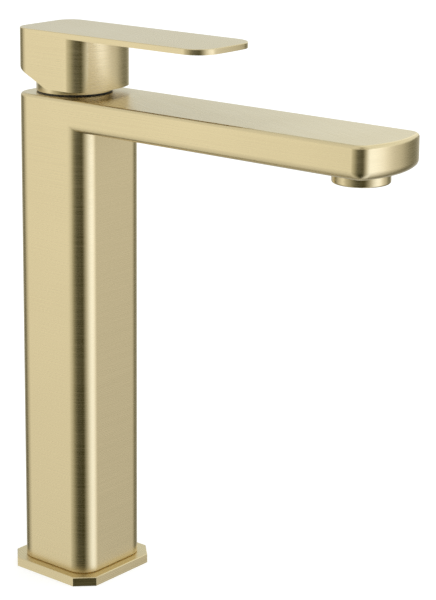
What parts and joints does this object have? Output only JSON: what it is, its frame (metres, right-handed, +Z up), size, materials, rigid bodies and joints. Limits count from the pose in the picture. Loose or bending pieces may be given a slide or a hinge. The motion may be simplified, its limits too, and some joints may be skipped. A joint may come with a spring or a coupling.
{
  "type": "basin mixer tap",
  "caption": "Tall deck-mounted single-lever basin mixer: square column, flat square spout, flat blade lever over a ceramic cartridge, aerator under the spout tip.",
  "frame": {"origin": "centre of the square column on the deck plane, at the base plate's underside", "axes": "+X along the spout, +Z up, symmetric about the XZ plane"},
  "size_m": [0.2345, 0.06, 0.3],
  "materials": {
    "brushed_gold": "brushed gold PVD over brass",
    "plate_gold": "brushed gold PVD over brass",
    "raw_brass": "machined brass",
    "black_rubber": "matt black rubber",
    "dark_plastic": "black acetal",
    "grey_plastic": "grey acetal",
    "white_plastic": "white acetal",
    "ceramic": "polished white ceramic",
    "steel": "stainless steel"
  },
  "bodies": {
    "base": {"body_casting": "brushed_gold", "base_plate": "plate_gold", "base_seal": "black_rubber", "mounting_insert": "raw_brass", "cartridge_base": "grey_plastic", "port_seals": "black_rubber", "disc_seals": "black_rubber", "fixed_disc": "ceramic", "cartridge_housing": "grey_plastic", "limit_ring": "dark_plastic", "cartridge_nut": "raw_brass", "cover_ring": "brushed_gold", "cover_ring_seal": "dark_plastic", "aerator_housing": "brushed_gold", "aerator_insert": "grey_plastic", "aerator_screen": "steel", "aerator_washer": "black_rubber"},
    "rotor": {"spindle_guide": "white_plastic", "spindle_pin": "steel"},
    "lever": {"handle": "brushed_gold", "handle_screw": "steel", "screw_plug": "brushed_gold", "spindle": "raw_brass"},
    "discs": {"disc_carrier": "grey_plastic", "moving_disc": "ceramic"}
  },
  "joints": [
    {"name": "handle_turn", "type": "hinge", "parent": "base", "child": "rotor", "pos_m": [-0.003, 0, 0.266], "axis": [0, 0, 1], "range_deg": [-45, 45]},
    {"name": "handle_lift", "type": "hinge", "parent": "rotor", "child": "lever", "pos_m": [-0.003, 0, 0.268], "axis": [0, -1, 0], "range_deg": [0, 20]},
    {"name": "disc_slide", "type": "slide", "parent": "rotor", "child": "discs", "axis": [1, 0, 0], "range_m": [0, 0.0066]}
  ],
  "couplings": [
    {"joint": "disc_slide", "follows": "handle_lift", "m_per_rad": 0.0185}
  ]
}
